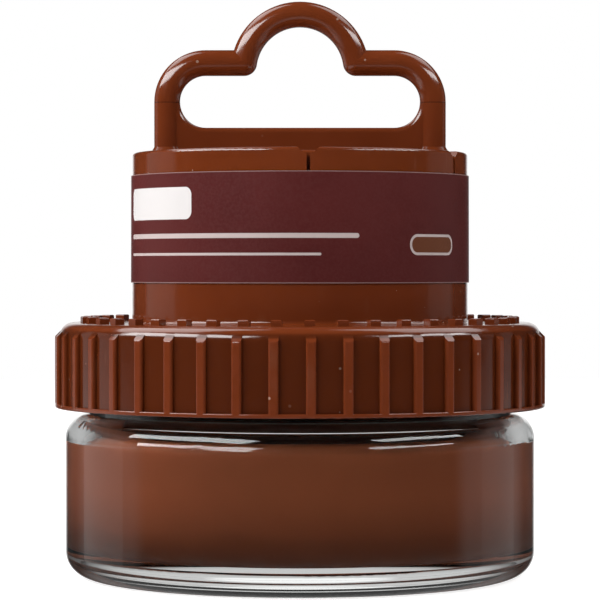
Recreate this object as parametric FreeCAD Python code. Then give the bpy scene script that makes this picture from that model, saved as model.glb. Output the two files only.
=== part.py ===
import FreeCAD
import Part
import math
import os

# Shoe cream jar: glass jar, screw lid with a cup on top, sponge applicator with a hanger loop.
# Millimetres, +Z up, origin in the middle of the jar's foot. The hanger lies in the XZ plane
# and its front faces -Y.

# ---- clearances -------------------------------------------------------------------------
TOUCH = 0.05            # pieces of one assembly that lie on each other
SLIDE_FIT = 0.3         # applicator plug in its cup, on the radius
FLOOR_GAP = 0.3         # sponge above the floor of the cup
FLANK_GAP = 0.35        # between the flanks of the two threads when the lid is shut
SEAL_GAP = 0.1          # glass rim under the liner

# ---- glass jar --------------------------------------------------------------------------
JAR_R = 28.0            # body
RIM_Z = 27.8            # height of the glass
FOOT_ROUND = 3.0        # rounding at the foot of the body
FOOT_RING = 6.0         # width of the flat ring the jar stands on
PUSH_UP = 0.6           # hollow inside that ring
BASE_THICK = 3.2
WALL = 2.1
NECK_STEP = 2.7         # how much narrower the neck is
NECK_H = 11.3           # from the start of the shoulder to the rim
SHOULDER_R = 2.8        # radius of the shoulder's curve
NECK_R = JAR_R - NECK_STEP
SHOULDER_Z = RIM_Z - NECK_H

# ---- thread -----------------------------------------------------------------------------
PITCH = 4.2
THREAD_START_Z = RIM_Z - 5.6    # middle of the glass thread where it begins
THREAD_TURNS = 0.93
GLASS_CREST_R = NECK_R + 1.2
GLASS_ROOT_W = 1.9
GLASS_CREST_W = 0.8
LID_CREST_R = NECK_R + 0.6
LID_ROOT_W = 1.7
LID_CREST_W = 0.7
LID_THREAD_TURNS = 1.05
LID_THREAD_LEAD = 0.24          # turns from the start of one ridge to the start of the other

# ---- cream ------------------------------------------------------------------------------
HEADSPACE = 10.8        # level below the rim, in the shoulder
CREAM_DISH = 0.35       # hollow in the middle of its surface
CREAM_Z = RIM_Z - HEADSPACE

# ---- screw lid --------------------------------------------------------------------------
LINER_THICK = 0.85
PLATE = 1.35            # thickness of the cap's top
LID_H = 10.05
DRUM_WALL = 1.4
DRUM_BORE_R = NECK_R + 2.0
DRUM_R = DRUM_BORE_R + DRUM_WALL
DRUM_EDGE_R = 1.6       # rounding of the drum's upper edge
LID_TOP_Z = RIM_Z + SEAL_GAP + LINER_THICK + TOUCH + PLATE
LID_BOTTOM_Z = LID_TOP_Z - LID_H
LINER_R = DRUM_BORE_R - 0.4
FLANGE_H = 0.5          # smooth band below the ribs
RIB_DEEP = 0.55         # how far the ribs stand out
RIB_COUNT = 44
RIB_W = 1.15
RIB_ROUND = 0.3
RIB_R = DRUM_R + RIB_DEEP
RIB_TOP_Z = LID_TOP_Z - 1.65    # where the ribs begin to slope in
RIB_TURN = 2.4          # degrees of the first rib from the front
BLOCK = 1.2             # side of the blocks on the cap's top
BLOCK_H = 0.72
BLOCK_R = DRUM_R - 3.1  # middle of the blocks

# ---- cup on the lid ---------------------------------------------------------------------
CUP_R = 20.0            # at the rim
CUP_H = 20.15
CUP_DRAFT = 0.05        # how much wider it is at the foot
CUP_WALL = 1.3
CUP_FOOT_FILLET = 0.5
CUP_RIM_Z = LID_TOP_Z + CUP_H
NOTCH_ANGLES = (2.7, 64.0)      # degrees from the front, repeated on the other side
NOTCH_TOP_W = 2.5
NOTCH_BOTTOM_W = 1.0
NOTCH_DEEP = 0.65
SLIT_W = 0.4

# ---- label ------------------------------------------------------------------------------
LABEL_DOWN = 2.7        # its upper edge below the cup's rim
LABEL_H = 12.7
LABEL_THICK = 0.12
LABEL_SEAM = 0.6        # gap between its ends, at the back
LABEL_Z1 = CUP_RIM_Z - LABEL_DOWN
LABEL_Z0 = LABEL_Z1 - LABEL_H
SLIT_Z = LABEL_Z1 - 0.7         # foot of the slits beside the two tongues, behind the label

# ---- applicator -------------------------------------------------------------------------
PLUG_R = CUP_R - CUP_WALL - SLIDE_FIT
PLUG_H = 9.0
PLUG_WALL = 1.2
DISC_THICK = 1.6
DISC_Z = CUP_RIM_Z - 0.3        # top of the plug
BAR_R = 1.55
LEG_X = PLUG_R - 2.5    # middle of each leg
SLOT_HALF_H = 3.1
SLOT_Z = DISC_Z + 3.4 + SLOT_HALF_H     # middle height of the hanging slot
ARCH_R = 6.75           # middle line of the arch
ARCH_Z = SLOT_Z + SLOT_HALF_H + 0.6     # its centre
WEB_THICK = 2.0
LEG_FOOT_R = 2.3        # flare where the legs meet the plug
LEG_FOOT_H = 1.3

# ---- sponge and its glue ----------------------------------------------------------------
SPONGE_R = PLUG_R - PLUG_WALL - 0.3
SPONGE_ROUND = 0.8
GLUE_R = SPONGE_R - 1.4
GLUE_THICK = 0.35


def vec(x, y, z):
    return FreeCAD.Vector(x, y, z)


def lathe(corners):
    """Solid of revolution from (radius, height, rounding) corners of a closed outline."""
    count = len(corners)
    cuts = []
    for i, (r, z, rounding) in enumerate(corners):
        here = vec(r, 0, z)
        back = vec(corners[i - 1][0], 0, corners[i - 1][1]) - here
        ahead = vec(corners[(i + 1) % count][0], 0, corners[(i + 1) % count][1]) - here
        back.normalize()
        ahead.normalize()
        if rounding == 0:
            cuts.append((here, None, here))
            continue
        half = back.getAngle(ahead) / 2
        reach = rounding / math.tan(half)
        bisector = back + ahead
        bisector.normalize()
        middle = here + bisector * (rounding / math.sin(half) - rounding)
        cuts.append((here + back * reach, middle, here + ahead * reach))
    edges = []
    for i, (start, middle, end) in enumerate(cuts):
        if middle is not None:
            edges.append(Part.Arc(start, middle, end).toShape())
        following = cuts[(i + 1) % count][0]
        if end.distanceToPoint(following) > 1e-6:
            edges.append(Part.makeLine(end, following))
    face = Part.Face(Part.Wire(Part.__sortEdges__(edges)))
    return face.revolve(vec(0, 0, 0), vec(0, 0, 1), 360)


def turned(shape, degrees):
    """Copy turned about the jar's axis."""
    copy = shape.copy()
    copy.rotate(vec(0, 0, 0), vec(0, 0, 1), degrees)
    return copy


def from_front(degrees):
    """Angle about +Z of a direction given in degrees to the right of the front."""
    return degrees - 90.0


def thread(root_r, crest_r, root_w, crest_w, start_z, start_angle, turns):
    """Ridge along a right-hand helix, its root sunk a little into the wall."""
    sink = 0.25 if root_r < crest_r else -0.25
    path = Part.makeHelix(PITCH, PITCH * turns, root_r)
    slope = (root_w - crest_w) / 2 / abs(crest_r - root_r) * abs(sink)
    half_root = root_w / 2 + slope
    corners = [
        vec(root_r - sink, 0, -half_root),
        vec(crest_r, 0, -crest_w / 2),
        vec(crest_r, 0, crest_w / 2),
        vec(root_r - sink, 0, half_root),
    ]
    profile = Part.makePolygon(corners + corners[:1])
    ridge = Part.Wire(path.Edges).makePipeShell([profile], True, True)
    ridge.rotate(vec(0, 0, 0), vec(0, 0, 1), start_angle)
    ridge.translate(vec(0, 0, start_z))
    return ridge


def jar_cavity(top_z):
    """The room inside the jar up to a height."""
    body_r = JAR_R - WALL
    neck_r = NECK_R - WALL
    bend_z = SHOULDER_Z - 0.4
    return lathe([
        (0, BASE_THICK, 0),
        (body_r, BASE_THICK, 4.0),
        (body_r, bend_z + 0.6, 2.0),
        (neck_r, bend_z + 3.2, 1.6),
        (neck_r, top_z, 0),
        (0, top_z, 0),
    ])


def glass_jar():
    z_join = SHOULDER_Z + math.sqrt(SHOULDER_R ** 2 - (NECK_R - JAR_R + SHOULDER_R) ** 2)
    body = lathe([
        (0, 0, 0),
        (JAR_R, 0, FOOT_ROUND),
        (JAR_R, SHOULDER_Z, 0),
        (0, SHOULDER_Z, 0),
    ])
    # quarter-round shoulder, cut off where it reaches the neck
    crown = lathe([
        (0, SHOULDER_Z, 0),
        (JAR_R, SHOULDER_Z, 0),
        (JAR_R, SHOULDER_Z + SHOULDER_R, SHOULDER_R - 0.001),
        (0, SHOULDER_Z + SHOULDER_R, 0),
    ])
    crown = crown.common(Part.makeCylinder(JAR_R + 1, z_join - SHOULDER_Z, vec(0, 0, SHOULDER_Z)))
    neck = lathe([
        (0, z_join - 0.5, 0),
        (NECK_R, z_join - 0.5, 0),
        (NECK_R, RIM_Z, 0.9),
        (NECK_R - WALL, RIM_Z, 0.9),
        (NECK_R - WALL, RIM_Z - 1.5, 0),
        (0, RIM_Z - 1.5, 0),
    ])
    ridge = thread(NECK_R, GLASS_CREST_R, GLASS_ROOT_W, GLASS_CREST_W, THREAD_START_Z, 0.0, THREAD_TURNS)
    solid = body.fuse([crown, neck, ridge])
    ring_r = JAR_R - FOOT_ROUND - FOOT_RING
    hollow = lathe([
        (0, -1.0, 0),
        (ring_r + 0.6, -1.0, 0),
        (ring_r, 0, 0),
        (ring_r - 2.0, PUSH_UP, 1.5),
        (0, PUSH_UP, 0),
    ])
    mouth = Part.makeCylinder(NECK_R - WALL, 4.0, vec(0, 0, RIM_Z - 2.0))
    return solid.cut([hollow, jar_cavity(RIM_Z - 1.5), mouth])


def shoe_cream():
    fill = jar_cavity(RIM_Z - 1.5).common(Part.makeCylinder(JAR_R, CREAM_Z))
    ball_r = ((NECK_R - WALL - 2) ** 2 + CREAM_DISH ** 2) / (2 * CREAM_DISH)
    return fill.cut(Part.makeSphere(ball_r, vec(0, 0, CREAM_Z - CREAM_DISH + ball_r)))


def cup_radius(z):
    """Outside of the cup, a little wider towards its foot."""
    return CUP_R + CUP_DRAFT * (CUP_RIM_Z - z) / (CUP_RIM_Z - LID_TOP_Z)


def rib():
    """One upright grip rib on the front of the drum, its outer corners rounded."""
    half = RIB_W / 2
    inner, outer = DRUM_R - 0.4, RIB_R
    turn = RIB_ROUND * (1 - math.sqrt(0.5))
    z = LID_BOTTOM_Z + FLANGE_H / 2
    corner = [
        (inner, -half),
        (outer - RIB_ROUND, -half),
        (outer - turn, -half + turn),
        (outer, -half + RIB_ROUND),
        (outer, half - RIB_ROUND),
        (outer - turn, half - turn),
        (outer - RIB_ROUND, half),
        (inner, half),
    ]
    p = [vec(x, y, z) for x, y in corner]
    edges = [
        Part.makeLine(p[0], p[1]),
        Part.Arc(p[1], p[2], p[3]).toShape(),
        Part.makeLine(p[3], p[4]),
        Part.Arc(p[4], p[5], p[6]).toShape(),
        Part.makeLine(p[6], p[7]),
        Part.makeLine(p[7], p[0]),
    ]
    return Part.Face(Part.Wire(edges)).extrude(vec(0, 0, LID_TOP_Z - 0.9 - z))


def block():
    corner = vec(BLOCK_R - BLOCK / 2, -BLOCK / 2, LID_TOP_Z - 0.3)
    shape = Part.makeBox(BLOCK, BLOCK, BLOCK_H + 0.3, corner)
    top = [e for e in shape.Edges if e.BoundBox.ZMin > LID_TOP_Z + BLOCK_H - 1e-6]
    return shape.makeFillet(0.15, top)


def notches():
    """V cuts in the cup's rim, each with a slit below it, on both sides of the two tongues."""
    cuts = []
    reach = CUP_WALL + 2.0
    for degrees in NOTCH_ANGLES + tuple(a + 180.0 for a in NOTCH_ANGLES):
        outline = [
            vec(CUP_R - reach, -NOTCH_TOP_W * 0.65, CUP_RIM_Z + NOTCH_DEEP * 0.4),
            vec(CUP_R - reach, NOTCH_TOP_W * 0.65, CUP_RIM_Z + NOTCH_DEEP * 0.4),
            vec(CUP_R - reach, NOTCH_BOTTOM_W / 2, CUP_RIM_Z - NOTCH_DEEP),
            vec(CUP_R - reach, -NOTCH_BOTTOM_W / 2, CUP_RIM_Z - NOTCH_DEEP),
        ]
        vee = Part.Face(Part.makePolygon(outline + outline[:1])).extrude(vec(2 * reach, 0, 0))
        low = vec(CUP_R - reach, -SLIT_W / 2, SLIT_Z)
        slit = Part.makeBox(2 * reach, SLIT_W, CUP_RIM_Z - SLIT_Z, low)
        foot = Part.makeCylinder(SLIT_W / 2, 2 * reach, vec(CUP_R - reach, 0, SLIT_Z), vec(1, 0, 0))
        cuts.extend(turned(cut, from_front(degrees)) for cut in (vee, slit, foot))
    return cuts


def screw_lid():
    cap = lathe([
        (0, LID_TOP_Z - PLATE, 0),
        (DRUM_BORE_R, LID_TOP_Z - PLATE, 0.4),
        (DRUM_BORE_R, LID_BOTTOM_Z, 0.3),
        (RIB_R, LID_BOTTOM_Z, 0.15),
        (RIB_R, LID_BOTTOM_Z + FLANGE_H, 0.15),
        (DRUM_R, LID_BOTTOM_Z + FLANGE_H, 0),
        (DRUM_R, LID_TOP_Z, DRUM_EDGE_R),
        (cup_radius(LID_TOP_Z), LID_TOP_Z, CUP_FOOT_FILLET),
        (cup_radius(CUP_RIM_Z), CUP_RIM_Z, 0.35),
        (CUP_R - CUP_WALL, CUP_RIM_Z, 0.35),
        (CUP_R - CUP_WALL, LID_TOP_Z, 0.6),
        (0, LID_TOP_Z, 0),
    ])
    # the ribs slope in at 45 degrees towards the drum's rounded edge
    slope = lathe([
        (DRUM_R - 1.5, LID_BOTTOM_Z, 0),
        (RIB_R, LID_BOTTOM_Z, 0),
        (RIB_R, RIB_TOP_Z, 0.3),
        (RIB_R - 1.2, RIB_TOP_Z + 1.2, 0),
        (DRUM_R - 1.5, RIB_TOP_Z + 1.2, 0),
    ])
    step = 360.0 / RIB_COUNT
    angles = [from_front(RIB_TURN + step * i) for i in range(RIB_COUNT)]
    one_rib = rib().common(slope)
    pieces = [turned(one_rib, a) for a in angles]
    one_block = block()
    pieces += [turned(one_block, a) for a in angles]
    # the lid's ridge lies under the glass one, a flank gap below it
    overlap = GLASS_CREST_R - LID_CREST_R
    glass_slope = (GLASS_ROOT_W - GLASS_CREST_W) / 2 / (GLASS_CREST_R - NECK_R)
    under = GLASS_CREST_W / 2 + glass_slope * overlap + LID_CREST_W / 2 + FLANK_GAP
    start_z = THREAD_START_Z + PITCH * LID_THREAD_LEAD - under
    turn = 360 * LID_THREAD_LEAD
    ridge = thread(DRUM_BORE_R, LID_CREST_R, LID_ROOT_W, LID_CREST_W, start_z, turn, LID_THREAD_TURNS)
    pieces.append(ridge)
    return cap.fuse(pieces).cut(notches())


def lid_liner():
    top = LID_TOP_Z - PLATE - TOUCH
    bottom = RIM_Z + SEAL_GAP
    return lathe([(0, bottom, 0), (LINER_R, bottom, 0.2), (LINER_R, top, 0.2), (0, top, 0)])


def wrap_label():
    inner0, inner1 = cup_radius(LABEL_Z0) + TOUCH, cup_radius(LABEL_Z1) + TOUCH
    wrap = lathe([
        (inner0, LABEL_Z0, 0),
        (inner0 + LABEL_THICK, LABEL_Z0, 0),
        (inner1 + LABEL_THICK, LABEL_Z1, 0),
        (inner1, LABEL_Z1, 0),
    ])
    seam = Part.makeBox(LABEL_SEAM, CUP_R, LABEL_H + 2, vec(-LABEL_SEAM / 2, CUP_R / 2, LABEL_Z0 - 1))
    return wrap.cut(seam)


def bent_bar(center_x, center_z, radius, start, sweep):
    """Round bar bent in the XZ plane; angles in degrees from +X towards +Z."""
    center = vec(center_x, 0, center_z)
    angle = math.radians(start)
    at = center + vec(radius * math.cos(angle), 0, radius * math.sin(angle))
    along = vec(-math.sin(angle), 0, math.cos(angle))
    disc = Part.Face(Part.Wire(Part.makeCircle(BAR_R, at, along)))
    return disc.revolve(center, vec(0, -1, 0), sweep)


def hanger_loop():
    bend_r = SLOT_HALF_H + BAR_R
    bend_x = LEG_X - bend_r
    rail_z = SLOT_Z + bend_r
    meet_angle = math.degrees(math.asin((rail_z - ARCH_Z) / ARCH_R))
    meet_x = ARCH_R * math.cos(math.radians(meet_angle))
    pieces = [bent_bar(0, ARCH_Z, ARCH_R, meet_angle, 180 - 2 * meet_angle)]
    for side in (-1, 1):
        pieces.append(Part.makeSphere(BAR_R, vec(side * meet_x, 0, rail_z)))
        inner_end = vec(side * meet_x, 0, rail_z)
        pieces.append(Part.makeCylinder(BAR_R, bend_x - meet_x, inner_end, vec(side, 0, 0)))
        pieces.append(bent_bar(side * bend_x, SLOT_Z, bend_r, 0 if side > 0 else 90, 90))
        pieces.append(Part.makeCylinder(BAR_R, SLOT_Z - DISC_Z + 0.5, vec(side * LEG_X, 0, DISC_Z - 0.5)))
    return pieces[0].fuse(pieces[1:]).removeSplitter()


def web():
    """Flat plate between the legs, its upper side following the slot."""
    low = DISC_Z - 0.5
    plate = Part.makeBox(2 * LEG_X, WEB_THICK, SLOT_Z - low, vec(-LEG_X, -WEB_THICK / 2, low))
    ends_x = LEG_X - BAR_R - SLOT_HALF_H
    slot = Part.makeBox(2 * ends_x, 8, 2 * SLOT_HALF_H, vec(-ends_x, -4, SLOT_Z - SLOT_HALF_H))
    for side in (-1, 1):
        slot = slot.fuse(Part.makeCylinder(SLOT_HALF_H, 8, vec(side * ends_x, -4, SLOT_Z), vec(0, 1, 0)))
    plate = plate.cut(slot.removeSplitter())
    edges = []
    for edge in plate.Edges:
        box = edge.BoundBox
        flat = abs(abs(box.YMin) - WEB_THICK / 2) < 1e-6 and box.YLength < 1e-6
        beside_slot = box.ZMin > DISC_Z + 1 and box.ZLength < SLOT_HALF_H + 0.1
        if flat and beside_slot and box.XLength > SLOT_HALF_H / 2:
            edges.append(edge)
    return plate.makeFillet(0.6, edges)


def applicator_handle():
    low = DISC_Z - PLUG_H
    plug = lathe([
        (0, DISC_Z - DISC_THICK, 0),
        (PLUG_R - PLUG_WALL, DISC_Z - DISC_THICK, 0.4),
        (PLUG_R - PLUG_WALL, low, 0.3),
        (PLUG_R, low, 0.5),
        (PLUG_R, DISC_Z, 0.4),
        (0, DISC_Z, 0),
    ])
    feet = []
    for side in (-1, 1):
        # a short flare under each leg, kept inside the plug's edge
        flare = Part.makeCone(LEG_FOOT_R, BAR_R, LEG_FOOT_H, vec(side * LEG_X, 0, DISC_Z - 0.2))
        feet.append(flare.common(Part.makeCylinder(PLUG_R - 0.4, 4, vec(0, 0, DISC_Z - 1))))
    return plug.fuse([hanger_loop(), web()] + feet)


def sponge_adhesive():
    top = DISC_Z - DISC_THICK
    return Part.makeCylinder(GLUE_R, GLUE_THICK, vec(0, 0, top - GLUE_THICK))


def applicator_sponge():
    top = DISC_Z - DISC_THICK - GLUE_THICK
    bottom = LID_TOP_Z + FLOOR_GAP
    return lathe([
        (0, bottom, 0),
        (SPONGE_R, bottom, SPONGE_ROUND),
        (SPONGE_R, top, SPONGE_ROUND),
        (0, top, 0),
    ])


NODES = (
    glass_jar,
    shoe_cream,
    screw_lid,
    lid_liner,
    wrap_label,
    applicator_handle,
    sponge_adhesive,
    applicator_sponge,
)

os.makedirs("parts", exist_ok=True)
for make in NODES:
    shape = make()
    if shape.ShapeType == "Compound" and len(shape.Solids) == 1:
        shape = shape.Solids[0]
    shape.exportStep(os.path.join("parts", make.__name__ + ".step"))
    print(make.__name__, shape.ShapeType, len(shape.Solids), shape.isValid(), round(shape.Volume, 1))
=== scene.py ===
import bmesh
import bpy
import math
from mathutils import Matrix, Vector, noise


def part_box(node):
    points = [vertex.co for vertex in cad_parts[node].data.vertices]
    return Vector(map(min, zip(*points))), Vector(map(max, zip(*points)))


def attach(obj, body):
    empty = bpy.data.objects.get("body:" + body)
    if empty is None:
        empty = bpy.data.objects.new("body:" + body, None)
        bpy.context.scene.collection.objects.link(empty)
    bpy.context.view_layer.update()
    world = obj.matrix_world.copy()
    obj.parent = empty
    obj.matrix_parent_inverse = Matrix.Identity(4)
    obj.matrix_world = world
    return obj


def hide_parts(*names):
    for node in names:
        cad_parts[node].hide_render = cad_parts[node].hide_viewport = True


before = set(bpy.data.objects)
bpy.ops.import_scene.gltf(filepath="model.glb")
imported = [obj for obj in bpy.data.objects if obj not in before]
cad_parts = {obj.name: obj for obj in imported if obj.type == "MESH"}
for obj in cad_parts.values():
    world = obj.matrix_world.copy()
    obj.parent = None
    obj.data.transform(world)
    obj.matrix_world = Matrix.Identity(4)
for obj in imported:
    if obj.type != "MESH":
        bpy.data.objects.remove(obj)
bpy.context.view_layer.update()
MM = 0.001

# Places on the mouldings, in metres.
RIB_HEIGHTS = (20.0 * MM, 29.4 * MM)      # the grip ribs stand between these heights
# the drum's wall between the ribs is painted darker here, as painted shade
HOLLOW_RADII = (28.4 * MM, 28.85 * MM)    # wall of the drum between the ribs
CREST_RADII = (28.85 * MM, 29.2 * MM)     # a rib's crest sets in over these radii
# the blocks' tops are painted paler here, as a painted highlight
BLOCK_HEIGHTS = (30.35 * MM, 30.7 * MM)   # the tops of the shoulder's blocks set in here
BLOCK_RADII = (22.4 * MM, 22.8 * MM)      # and lie outside these radii
HANDLE_SEAM = 56.4 * MM                   # height of the mould seam across the handle's legs
LEG_SIDES = (13.0 * MM, 13.5 * MM)        # the legs lie further out than this
SEAM_HALF = 0.06 * MM

# Places on the wrap.
WRAP_RADIUS = 20.1 * MM
LABEL_LOW, LABEL_HIGH = (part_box("wrap_label")[i][2] for i in (0, 1))

# Marks printed on the wrap, in millimetres: left and right round the cup from its front, low and
# high from the floor, corner radius.
BADGE = (-27.0, -13.3, 42.2, 45.9, 0.9)
SWATCH_EDGE = (13.5, 21.5, 38.1, 40.5, 1.15)
SWATCH = (13.8, 21.2, 38.4, 40.2, 0.88)
RULES = ((-27.0, 6.8, 40.3, 0.55), (-27.0, 2.4, 38.2, 0.3))  # left, right, height, thickness

# Camera.
CAMERA_PLACE = (0, -0.3354, 0.0365)
CAMERA_AIM = (0, 0, 0.0328)

# ---------------------------------------------------------------- node tree helpers


def node(tree, kind, inputs=None, **settings):
    made = tree.nodes.new(kind)
    for name, value in settings.items():
        setattr(made, name, value)
    for name, value in (inputs or {}).items():
        plug(tree, value, made.inputs[name])
    return made


def plug(tree, value, socket):
    """Links a socket into another, or writes a plain value into it."""
    if isinstance(value, bpy.types.NodeSocket):
        tree.links.new(value, socket)
    else:
        socket.default_value = value


def calc(tree, operation, first, second=0.0, third=0.0):
    made = node(tree, "ShaderNodeMath", operation=operation)
    for socket, value in zip(made.inputs, (first, second, third)):
        plug(tree, value, socket)
    return made.outputs[0]


def times(tree, first, second):
    return calc(tree, "MULTIPLY", first, second)


def length(tree, first, second):
    """Length of a vector with these two parts."""
    squares = calc(tree, "ADD", times(tree, first, first), times(tree, second, second))
    return calc(tree, "SQRT", squares)


def blend_colour(tree, factor, low, high, mode="MIX"):
    made = tree.nodes.new("ShaderNodeMix")
    made.data_type = "RGBA"
    made.blend_type = mode
    made.clamp_factor = True
    plug(tree, factor, made.inputs[0])
    plug(tree, low, made.inputs[6])
    plug(tree, high, made.inputs[7])
    return made.outputs[2]


def ramp(tree, value, low, high, to_low=0.0, to_high=1.0):
    """A soft rise or fall from to_low at low to to_high at high."""
    return node(tree, "ShaderNodeMapRange",
                {"Value": value, "From Min": low, "From Max": high,
                 "To Min": to_low, "To Max": to_high},
                interpolation_type="SMOOTHSTEP").outputs[0]


def between(tree, value, low, high, soft):
    """1 where value lies between two limits, with soft edges."""
    rise = ramp(tree, value, low - soft, low + soft)
    fall = ramp(tree, value, high - soft, high + soft, 1.0, 0.0)
    return times(tree, rise, fall)


def fresh_material(name):
    material = bpy.data.materials.new(name)
    material.use_nodes = True
    tree = material.node_tree
    tree.nodes.clear()
    out = tree.nodes.new("ShaderNodeOutputMaterial")
    shader = tree.nodes.new("ShaderNodeBsdfPrincipled")
    tree.links.new(shader.outputs[0], out.inputs[0])
    return material, tree, shader


def object_coords(tree):
    return node(tree, "ShaderNodeTexCoord").outputs["Object"]


def axes(tree, vector):
    return node(tree, "ShaderNodeSeparateXYZ", {"Vector": vector}).outputs


def grain(tree, coords, scale, detail, **more):
    inputs = {"Vector": coords, "Scale": scale, "Detail": detail, **more}
    return node(tree, "ShaderNodeTexNoise", inputs).outputs[0]


def set_bump(tree, shader, height, strength, distance):
    bump = node(tree, "ShaderNodeBump",
                {"Height": height, "Strength": strength, "Distance": distance})
    plug(tree, bump.outputs[0], shader.inputs["Normal"])


def new_group(name, inputs, outputs):
    group = bpy.data.node_groups.new(name, "ShaderNodeTree")
    for label, kind, value in inputs:
        socket = group.interface.new_socket(label, in_out="INPUT", socket_type=kind)
        if value is not None:
            socket.default_value = value
    for label, kind in outputs:
        group.interface.new_socket(label, in_out="OUTPUT", socket_type=kind)
    return group, group.nodes.new("NodeGroupInput").outputs, group.nodes.new("NodeGroupOutput")


def use_group(tree, group, inputs):
    made = tree.nodes.new("ShaderNodeGroup")
    made.node_tree = group
    for name, value in inputs.items():
        plug(tree, value, made.inputs[name])
    return made.outputs


# ---------------------------------------------------------------- shared effects


def make_mottle():
    """Slow unevenness of a surface, between Low and High, and a fine one, nine times as small."""
    group, given, result = new_group(
        "mottle",
        [("Vector", "NodeSocketVector", None), ("Scale", "NodeSocketFloat", 100.0),
         ("Low", "NodeSocketFloat", 0.0), ("High", "NodeSocketFloat", 1.0)],
        [("Value", "NodeSocketFloat"), ("Fine", "NodeSocketFloat")])
    slow = grain(group, given["Vector"], given["Scale"], 3.0, Roughness=0.55)
    fine = grain(group, given["Vector"], times(group, given["Scale"], 9.0), 2.0, Roughness=0.6)
    spread = node(group, "ShaderNodeMapRange",
                  {"Value": slow, "From Min": 0.3, "From Max": 0.7,
                   "To Min": given["Low"], "To Max": given["High"]})
    group.links.new(spread.outputs[0], result.inputs["Value"])
    group.links.new(fine, result.inputs["Fine"])
    return group


def make_rubbing():
    """Fine rub marks, as sliding on a shelf or in the hand leaves on gloss."""
    group, given, result = new_group(
        "rubbing",
        [("Vector", "NodeSocketVector", None), ("Amount", "NodeSocketFloat", 0.5)],
        [("Mask", "NodeSocketFloat")])
    masks = []
    for turn, stretch in ((0.35, 40.0), (-0.6, 55.0)):
        turned = node(group, "ShaderNodeMapping",
                      {"Vector": given["Vector"], "Rotation": (turn, turn / 2, turn),
                       "Scale": (stretch, 1400.0, stretch * 2)})
        streak = grain(group, turned.outputs[0], 1.0, 1.0)
        masks.append(ramp(group, streak, 0.66, 0.76))
    both = calc(group, "MAXIMUM", *masks)
    where = ramp(group, grain(group, given["Vector"], 130.0, 2.0), 0.45, 0.65)
    marks = times(group, times(group, both, where), given["Amount"])
    group.links.new(marks, result.inputs["Mask"])
    return group


def make_specks():
    """Scattered specks of dust, a few to the square centimetre."""
    group, given, result = new_group(
        "specks",
        [("Vector", "NodeSocketVector", None), ("Amount", "NodeSocketFloat", 1.0)],
        [("Mask", "NodeSocketFloat")])
    cells = node(group, "ShaderNodeTexVoronoi", {"Vector": given["Vector"], "Scale": 900.0})
    pick = node(group, "ShaderNodeSeparateColor", {"Color": cells.outputs["Color"]})
    reach = ramp(group, pick.outputs[0], 0.86, 1.0, 0.0, 0.16)
    inside = calc(group, "LESS_THAN", cells.outputs["Distance"], reach)
    marks = times(group, times(group, inside, pick.outputs[1]), given["Amount"])
    group.links.new(marks, result.inputs["Mask"])
    return group


MOTTLE = make_mottle()
RUBBING = make_rubbing()
SPECKS = make_specks()


def mottled(tree, coords, scale):
    """The slow and the fine unevenness, both from 0 to 1."""
    outputs = use_group(tree, MOTTLE, {"Vector": coords, "Scale": scale, "Low": 0.0, "High": 1.0})
    return outputs["Value"], outputs["Fine"]


def rubbed(tree, coords, amount):
    return use_group(tree, RUBBING, {"Vector": coords, "Amount": amount})[0]


# ---------------------------------------------------------------- finishes


def rib_shading(tree, colour, coords, fine):
    """The wall between the grip ribs darkened as painted shade, the ribs' crests rubbed paler, and
    the blocks' tops paler as a painted highlight.
    """
    x, y, z = axes(tree, coords)
    radius = length(tree, x, y)
    drum = between(tree, z, *RIB_HEIGHTS, 0.3 * MM)
    # Painted shade: the drum's wall between the ribs is darkened, as shade falls in these hollows.
    hollow_shade = times(tree, between(tree, radius, *HOLLOW_RADII, 0.1 * MM), drum)
    colour = blend_colour(tree, times(tree, hollow_shade, 0.62), colour, (0.042, 0.0072, 0.0012, 1))
    rib_crest = times(tree, ramp(tree, radius, *CREST_RADII), drum)
    # Painted highlight: the blocks' tops are painted paler.
    block_top_highlight = times(tree, ramp(tree, z, *BLOCK_HEIGHTS), ramp(tree, radius, *BLOCK_RADII))
    # Rib crests paler from rub wear, blocks' tops paler as a painted highlight.
    crest_wear_and_block_highlight = calc(tree, "MAXIMUM", rib_crest, block_top_highlight)
    wear_and_painted_highlight = times(tree, crest_wear_and_block_highlight, ramp(tree, fine, 0.3, 0.75, 0.3, 0.9))
    return blend_colour(tree, wear_and_painted_highlight, colour, (0.168, 0.0325, 0.0100, 1))


def brown_moulding(name, seam_height=None, ribbed=False):
    """Glossy brown injection-moulded plastic."""
    material, tree, shader = fresh_material(name)
    coords = object_coords(tree)
    slow, fine = mottled(tree, coords, 90.0)
    rub = rubbed(tree, coords, 0.6)
    flow = grain(tree, coords, 160.0, 1.5)
    height = calc(tree, "MULTIPLY_ADD", fine, 0.05, times(tree, flow, 0.6))
    colour = blend_colour(tree, slow, (0.139, 0.0262, 0.0062, 1), (0.168, 0.0335, 0.0090, 1))
    if ribbed:
        colour = rib_shading(tree, colour, coords, fine)
    colour = blend_colour(tree, times(tree, rub, 0.3), colour, (0.24, 0.10, 0.055, 1))
    if seam_height is not None:
        x, _, z = axes(tree, coords)
        line = between(tree, z, seam_height - SEAM_HALF, seam_height + SEAM_HALF, 0.05 * MM)
        seam = times(tree, line, ramp(tree, calc(tree, "ABSOLUTE", x), *LEG_SIDES))
        colour = blend_colour(tree, times(tree, seam, 0.6), colour, (0.030, 0.006, 0.002, 1))
        height = calc(tree, "MULTIPLY_ADD", seam, -2.5, height)
    dust = use_group(tree, SPECKS, {"Vector": coords, "Amount": 0.55})[0]
    colour = blend_colour(tree, dust, colour, (0.55, 0.42, 0.34, 1))
    plug(tree, colour, shader.inputs["Base Color"])
    gloss = calc(tree, "ADD", ramp(tree, fine, 0.3, 0.7, 0.1, 0.17), times(tree, rub, 0.12))
    plug(tree, gloss, shader.inputs["Roughness"])
    set_bump(tree, shader, height, 0.12, 0.05 * MM)
    shader.inputs["IOR"].default_value = 1.62
    return material


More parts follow.
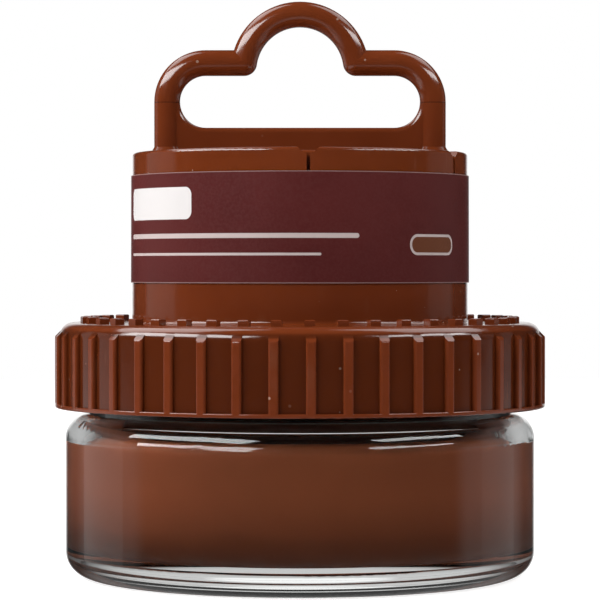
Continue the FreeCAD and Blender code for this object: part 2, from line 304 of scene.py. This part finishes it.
def clear_glass():
    """Moulded soda glass, a little wavy inside and out."""
    material, tree, shader = fresh_material("clear_glass")
    coords = object_coords(tree)
    slow, _ = mottled(tree, coords, 60.0)
    colour = blend_colour(tree, slow, (0.955, 0.975, 0.965, 1), (0.975, 0.985, 0.98, 1))
    plug(tree, colour, shader.inputs["Base Color"])
    rough = calc(tree, "MULTIPLY_ADD", rubbed(tree, coords, 0.5), 0.08, 0.004)
    plug(tree, rough, shader.inputs["Roughness"])
    set_bump(tree, shader, grain(tree, coords, 70.0, 1.0), 0.1, 0.12 * MM)
    shader.inputs["Transmission Weight"].default_value = 1.0
    shader.inputs["IOR"].default_value = 1.52
    return material


def brown_cream():
    """Thick waxy cream, pressed smooth against the glass, slightly uneven, and darkened low down by
    painted shade.
    """
    material, tree, shader = fresh_material("shoe_cream")
    coords = object_coords(tree)
    slow, fine = mottled(tree, coords, 45.0)
    body = blend_colour(tree, slow, (0.372, 0.100, 0.040, 1), (0.465, 0.130, 0.054, 1))
    # Painted shade: the cream darkens towards the bottom, as less light reaches it there.
    shade = ramp(tree, axes(tree, coords)[2], 2.5 * MM, 12.0 * MM, 0.34, 1.0)
    grey = node(tree, "ShaderNodeCombineColor", {"Red": shade, "Green": shade, "Blue": shade})
    shaded_body = blend_colour(tree, 1.0, body, grey.outputs[0], "MULTIPLY")
    plug(tree, shaded_body, shader.inputs["Base Color"])
    plug(tree, ramp(tree, fine, 0.3, 0.7, 0.42, 0.55), shader.inputs["Roughness"])
    shader.inputs["Specular IOR Level"].default_value = 0.15
    set_bump(tree, shader, grain(tree, coords, 140.0, 2.0, Distortion=1.5), 0.25, 0.2 * MM)
    return material


def printed_mark(tree, around, z, left, right, low, high, corner):
    """Mask of a rounded rectangle, given in millimetres, on the rolled-out wrap."""
    left, right, low, high, corner = (v * MM for v in (left, right, low, high, corner))
    past = []
    for place, start, end in ((around, left, right), (z, low, high)):
        half = (end - start) / 2 - corner
        off_centre = calc(tree, "ABSOLUTE", calc(tree, "SUBTRACT", place, (start + end) / 2))
        past.append(calc(tree, "MAXIMUM", calc(tree, "SUBTRACT", off_centre, half), 0.0))
    return ramp(tree, length(tree, *past), corner - 0.04 * MM, corner + 0.04 * MM, 1.0, 0.0)


def printed_wrap():
    """Dark red printed paper with a pale blank badge, two plain rules and a colour swatch, and a
    painted highlight along its top and bottom edges.
    """
    material, tree, shader = fresh_material("wrap_label")
    coords = object_coords(tree)
    x, y, z = axes(tree, coords)
    angle = calc(tree, "ARCTAN2", x, times(tree, y, -1.0))
    around = times(tree, angle, WRAP_RADIUS)
    slow, _ = mottled(tree, coords, 70.0)
    fibre = grain(tree, coords, 3400.0, 2.0)
    ink = blend_colour(tree, slow, (0.077, 0.0114, 0.0108, 1), (0.102, 0.0168, 0.0156, 1))
    ink = blend_colour(tree, ramp(tree, fibre, 0.35, 0.7, 0.0, 0.22), ink, (0.12, 0.030, 0.028, 1))
    pale = (0.70, 0.60, 0.58, 1)
    badge = printed_mark(tree, around, z, *BADGE)
    ink = blend_colour(tree, badge, ink, (0.72, 0.69, 0.68, 1))
    for left, right, middle, thick in RULES:
        rule = printed_mark(tree, around, z, left, right,
                            middle - thick / 2, middle + thick / 2, thick * 0.49)
        ink = blend_colour(tree, times(tree, rule, 0.75), ink, pale)
    swatch_edge = printed_mark(tree, around, z, *SWATCH_EDGE)
    ink = blend_colour(tree, times(tree, swatch_edge, 0.75), ink, pale)
    swatch = printed_mark(tree, around, z, *SWATCH)
    ink = blend_colour(tree, swatch, ink, (0.14, 0.045, 0.02, 1))
    # Painted highlight: a pale line along the wrap's top and bottom edges.
    inside = between(tree, z, LABEL_LOW + 0.09 * MM, LABEL_HIGH - 0.09 * MM, 0.03 * MM)
    edge_highlight = times(tree, calc(tree, "SUBTRACT", 1.0, inside), 0.35)
    ink = blend_colour(tree, edge_highlight, ink, (0.62, 0.45, 0.42, 1))
    plug(tree, ink, shader.inputs["Base Color"])
    plug(tree, ramp(tree, fibre, 0.3, 0.7, 0.36, 0.48), shader.inputs["Roughness"])
    shader.inputs["Specular IOR Level"].default_value = 0.16
    ripple = grain(tree, coords, 110.0, 2.0)
    set_bump(tree, shader, calc(tree, "MULTIPLY_ADD", fibre, 0.12, ripple), 0.2, 0.1 * MM)
    return material


def foam():
    """Open-cell foam, warm pale yellow, with cells of about half a millimetre."""
    material, tree, shader = fresh_material("sponge_foam")
    coords = object_coords(tree)
    cells, large = (node(tree, "ShaderNodeTexVoronoi", {"Vector": coords, "Scale": scale})
                    .outputs["Distance"] for scale in (1500.0, 620.0))
    pores = calc(tree, "MINIMUM", ramp(tree, cells, 0.1, 0.5), ramp(tree, large, 0.05, 0.3))
    slow, fine = mottled(tree, coords, 120.0)
    skin = blend_colour(tree, slow, (0.62, 0.47, 0.22, 1), (0.72, 0.58, 0.31, 1))
    # Painted shade: the pores are painted darker, as shade falls inside the cells.
    colour = blend_colour(tree, pores, (0.28, 0.17, 0.06, 1), skin)
    plug(tree, colour, shader.inputs["Base Color"])
    plug(tree, ramp(tree, fine, 0.3, 0.7, 0.85, 0.97), shader.inputs["Roughness"])
    set_bump(tree, shader, pores, 0.8, 0.25 * MM)
    shader.inputs["Sheen Weight"].default_value = 0.15
    return material


def wadding():
    """Pressed pulp board of the sealing disc, slightly uneven."""
    material, tree, shader = fresh_material("liner_board")
    coords = object_coords(tree)
    slow, fine = mottled(tree, coords, 220.0)
    board = blend_colour(tree, slow, (0.70, 0.68, 0.63, 1), (0.78, 0.77, 0.73, 1))
    plug(tree, board, shader.inputs["Base Color"])
    plug(tree, ramp(tree, fine, 0.3, 0.7, 0.6, 0.75), shader.inputs["Roughness"])
    set_bump(tree, shader, fine, 0.4, 0.08 * MM)
    return material


def set_glue():
    """Cured amber glue, lumpy and half glossy."""
    material, tree, shader = fresh_material("sponge_glue")
    slow, fine = mottled(tree, object_coords(tree), 300.0)
    amber = blend_colour(tree, slow, (0.58, 0.44, 0.20, 1), (0.70, 0.58, 0.33, 1))
    plug(tree, amber, shader.inputs["Base Color"])
    plug(tree, ramp(tree, fine, 0.3, 0.7, 0.25, 0.45), shader.inputs["Roughness"])
    set_bump(tree, shader, slow, 0.5, 0.15 * MM)
    return material


# ---------------------------------------------------------------- pieces made here


def finish_mesh(name, mesh):
    data = bpy.data.meshes.new(name)
    mesh.to_mesh(data)
    mesh.free()
    data.polygons.foreach_set("use_smooth", [True] * len(data.polygons))
    made = bpy.data.objects.new(name, data)
    bpy.context.scene.collection.objects.link(made)
    return made


def lathe(name, outline, steps):
    """Turned piece: an open outline of (radius, height) in millimetres, its ends on the axis."""
    mesh = bmesh.new()
    points = [mesh.verts.new((r * MM, 0, z * MM)) for r, z in outline]
    edges = [mesh.edges.new(pair) for pair in zip(points, points[1:])]
    bmesh.ops.spin(mesh, geom=points + edges, cent=(0, 0, 0), axis=(0, 0, 1), dvec=(0, 0, 0),
                   angle=math.tau, steps=steps, use_merge=True, use_normal_flip=False,
                   use_duplicate=False)
    bmesh.ops.remove_doubles(mesh, verts=mesh.verts, dist=0.00001)
    bmesh.ops.recalc_face_normals(mesh, faces=mesh.faces)
    return finish_mesh(name, mesh)


def arc(cx, cz, radius, start, end, count):
    """Points of an outline along part of a circle, angles in degrees from the radius direction."""
    for i in range(count + 1):
        a = math.radians(start + (end - start) * i / count)
        yield cx + radius * math.cos(a), cz + radius * math.sin(a)


def smear_climb(place):
    """How far up the shoulder's wall the smear goes: most at the sides, least front and back."""
    wander = 0.06 * noise.noise(place.normalized() * 9.0)
    side = abs(math.sin(math.atan2(place.x, -place.y) + wander))
    climb = 0.06 + 0.94 * max(0.0, (side - 0.62) / 0.38) ** 1.4
    return climb * (0.8 + 0.2 * noise.noise(place.normalized() * 30.0))


def cream_fill():
    """The cream stands a hair into the glass wall, so that no air shows between them. Over the
    floor it leaves a thin film of air, so that the clear foot carries light."""
    into_glass, air_film, bottom_round, smear_slope = 0.03, 0.1, 4.0, 1.04
    low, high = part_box("shoe_cream")
    r, floor, level = high[0] / MM + into_glass, low[2] / MM - into_glass, high[2] / MM
    smear_foot, dish_edge = level - 0.1, level - 0.8
    outline = [(0, floor + air_film), (r - 5.0, floor + air_film)]
    outline += arc(r - bottom_round, floor + bottom_round, bottom_round, -90, 0, 12)
    outline += arc(r - 2.0, level - 1.35, 2.0, 0, 36, 8)
    outline += [(r - 0.62 - 0.18 * i, smear_foot + 0.17 * i) for i in range(12)]
    outline += [(r - 2.7 + 0.16 * i, level + 1.6 - 0.16 * i) for i in range(11)]
    for i in range(1, 24):
        part = 1 - i / 23
        outline.append(((r - 1.0) * part, level - 0.18 - 0.3 * (1 - part ** 2)))
    made = lathe("cream_fill", outline, 256)
    for vert in made.data.vertices:
        place = vert.co
        if place.z > smear_foot * MM:
            drop = (place.z / MM - smear_foot) * (1 - smear_climb(place))
            out = place.xy.normalized() * drop * smear_slope * MM
            vert.co += Vector((out.x, out.y, -drop * MM))
        elif place.z > dish_edge * MM and place.xy.length < (r - 1.2) * MM:
            inner = min(1.0, max(0.0, (r - 0.3 - place.xy.length / MM) / 2.0))
            lumps = noise.noise(place * 260.0) * 0.12 + noise.noise(place * 900.0) * 0.05 - 0.08
            vert.co.z += lumps * inner * MM
    return made


def sponge_pad():
    """Foam pad: waisted a little, its rim rounded, its skin pitted."""
    low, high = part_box("applicator_sponge")
    r, floor, top = high[0] / MM - 0.12, low[2] / MM + 0.12, high[2] / MM - 0.05
    rim, shoulder, waist = 1.3, 0.7, 0.15
    side = top - floor - rim - shoulder
    outline = [(r * i / 24, floor + 0.12 * (1 - i / 24)) for i in range(22)]
    outline += arc(r - rim, floor + rim, rim, -90, 0, 6)
    outline += [(r - waist * math.sin(math.pi * i / 36), floor + rim + side * i / 36)
                for i in range(1, 36)]
    outline += arc(r - shoulder, top - shoulder, shoulder, 0, 90, 4)
    outline += [((r - shoulder) * (1 - i / 8), top) for i in range(1, 9)]
    made = lathe("sponge_pad", outline, 288)
    for vert in made.data.vertices:
        if vert.co.z >= (top - 0.4) * MM:
            continue  # the part by the glue stays smooth
        on_side = vert.co.z > (floor + 0.9) * MM
        outward = Vector((vert.co.x, vert.co.y, 0)).normalized() if on_side else Vector((0, 0, -1))
        cell = noise.voronoi(vert.co * 900.0)[0][0]
        pit = max(0.0, 0.45 - cell) * 0.35 + 0.05 * noise.noise(vert.co * 300.0)
        vert.co -= outward * pit * MM
    return made


finishes = {
    "glass_jar": clear_glass(),
    "screw_lid": brown_moulding("lid_plastic", ribbed=True),
    "lid_liner": wadding(),
    "wrap_label": printed_wrap(),
    "applicator_handle": brown_moulding("handle_plastic", seam_height=HANDLE_SEAM),
    "sponge_adhesive": set_glue(),
}
for name, finish in finishes.items():
    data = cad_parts[name].data
    data.materials.clear()
    data.materials.append(finish)

cream = cream_fill()
cream.data.materials.append(brown_cream())
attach(cream, "jar")
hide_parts("shoe_cream")

pad = sponge_pad()
pad.data.materials.append(foam())
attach(pad, "applicator")
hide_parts("applicator_sponge")

# ---------------------------------------------------------------- floor, surroundings and lamps


def white_floor():
    """White to the eye; greyed near the jar by a painted shadow where the jar's glass shows it;
    clear to gloss, which sees the world.
    """
    mesh = bmesh.new()
    bmesh.ops.create_circle(mesh, cap_ends=True, segments=96, radius=0.6)
    bmesh.ops.translate(mesh, verts=mesh.verts, vec=(0, 0, -0.02 * MM))
    made = finish_mesh("floor", mesh)
    material = bpy.data.materials.new("white_floor")
    material.use_nodes = True
    tree = material.node_tree
    tree.nodes.clear()
    rays = node(tree, "ShaderNodeLightPath").outputs
    x, y, _ = axes(tree, object_coords(tree))
    # Painted shadow: as seen through glass, the floor's glow fades towards the jar's foot.
    shade = ramp(tree, length(tree, x, y), 26.0 * MM, 90.0 * MM, 0.22, 0.9)
    through = times(tree, rays["Is Transmission Ray"], shade)
    seen = calc(tree, "MAXIMUM", rays["Is Camera Ray"], through)
    matt = node(tree, "ShaderNodeBsdfDiffuse", {"Color": (0.6, 0.6, 0.6, 1)})
    glow = node(tree, "ShaderNodeEmission", {"Strength": times(tree, seen, 0.8)})
    both = node(tree, "ShaderNodeAddShader")
    tree.links.new(matt.outputs[0], both.inputs[0])
    tree.links.new(glow.outputs[0], both.inputs[1])
    clear = node(tree, "ShaderNodeBsdfTransparent")
    choice = node(tree, "ShaderNodeMixShader", {"Fac": rays["Is Glossy Ray"]})
    tree.links.new(both.outputs[0], choice.inputs[1])
    tree.links.new(clear.outputs[0], choice.inputs[2])
    out = node(tree, "ShaderNodeOutputMaterial")
    tree.links.new(choice.outputs[0], out.inputs[0])
    made.data.materials.append(material)


def surroundings():
    """White all round for the eye. Gloss sees a white panel behind, a table at the sides, light
    from far below and a dark room in front; the rest of the light is a soft sky."""
    world = bpy.data.worlds.new("studio")
    bpy.context.scene.world = world
    world.use_nodes = True
    tree = world.node_tree
    tree.nodes.clear()
    rays = node(tree, "ShaderNodeLightPath").outputs
    _, back, up = axes(tree, node(tree, "ShaderNodeTexCoord").outputs["Generated"])
    panel = times(tree, ramp(tree, back, 0.93, 0.985), ramp(tree, up, 0.5, 0.35))
    table = times(tree, ramp(tree, up, -0.03, -0.06), ramp(tree, back, -0.2, -0.02))
    table = times(tree, table, ramp(tree, back, 0.8, 0.55, 0.12, 1.0))
    under = ramp(tree, up, -0.25, -0.55, 0.0, 0.45)
    gloss = calc(tree, "MAXIMUM", panel, times(tree, table, 0.35))
    gloss = calc(tree, "ADD", calc(tree, "MAXIMUM", gloss, under), 0.015)
    through = times(tree, ramp(tree, back, 0.5, 0.9, 0.0, 0.62), rays["Is Transmission Ray"])
    seen = calc(tree, "MAXIMUM", rays["Is Camera Ray"], through)
    sky = ramp(tree, up, -0.4, 0.6, 0.06, 0.16)
    fill = times(tree, calc(tree, "SUBTRACT", 1.0, rays["Is Glossy Ray"]), sky)
    light = calc(tree, "MULTIPLY_ADD", gloss, rays["Is Glossy Ray"], fill)
    shown = node(tree, "ShaderNodeBackground",
                 {"Color": (1, 1, 1, 1), "Strength": calc(tree, "MAXIMUM", seen, light)})
    out = node(tree, "ShaderNodeOutputWorld")
    tree.links.new(shown.outputs[0], out.inputs[0])


def softbox(name, side, height, back, wide, tall, watts, aim=(0, 0, 0.035)):
    lamp = bpy.data.lights.new(name, "AREA")
    lamp.shape = "RECTANGLE"
    lamp.size, lamp.size_y = wide, tall
    lamp.energy = watts
    made = bpy.data.objects.new(name, lamp)
    made.location = (side, back, height)
    made.rotation_euler = (Vector(aim) - made.location).to_track_quat("-Z", "Y").to_euler()
    made.visible_camera = False
    bpy.context.scene.collection.objects.link(made)


white_floor()
surroundings()
softbox("left_top", -0.27, 0.45, 0.14, 0.32, 0.34, 1.05, aim=(-0.20, 0.03, 0.0))
softbox("right_top", 0.27, 0.45, 0.14, 0.32, 0.34, 0.78, aim=(0.20, 0.03, 0.0))
softbox("left_key", -0.28, 0.26, -0.15, 0.48, 0.13, 1.8, aim=(0, 0, 0.03))
softbox("right_key", 0.31, 0.28, -0.13, 0.35, 0.08, 0.68, aim=(0, 0, 0.03))
softbox("left_side", -0.42, 0.05, 0.15, 0.28, 0.36, 0.08)
softbox("right_side", 0.44, 0.05, 0.16, 0.24, 0.36, 0.035)

lens = bpy.data.cameras.new("camera")
lens.sensor_width = 36.0
lens.lens = 168.0
camera = bpy.data.objects.new("camera", lens)
camera.location = CAMERA_PLACE
camera.rotation_euler = (Vector(CAMERA_AIM) - camera.location).to_track_quat("-Z", "Y").to_euler()
bpy.context.scene.collection.objects.link(camera)
bpy.context.scene.camera = camera
bpy.context.scene.view_settings.view_transform = "Standard"
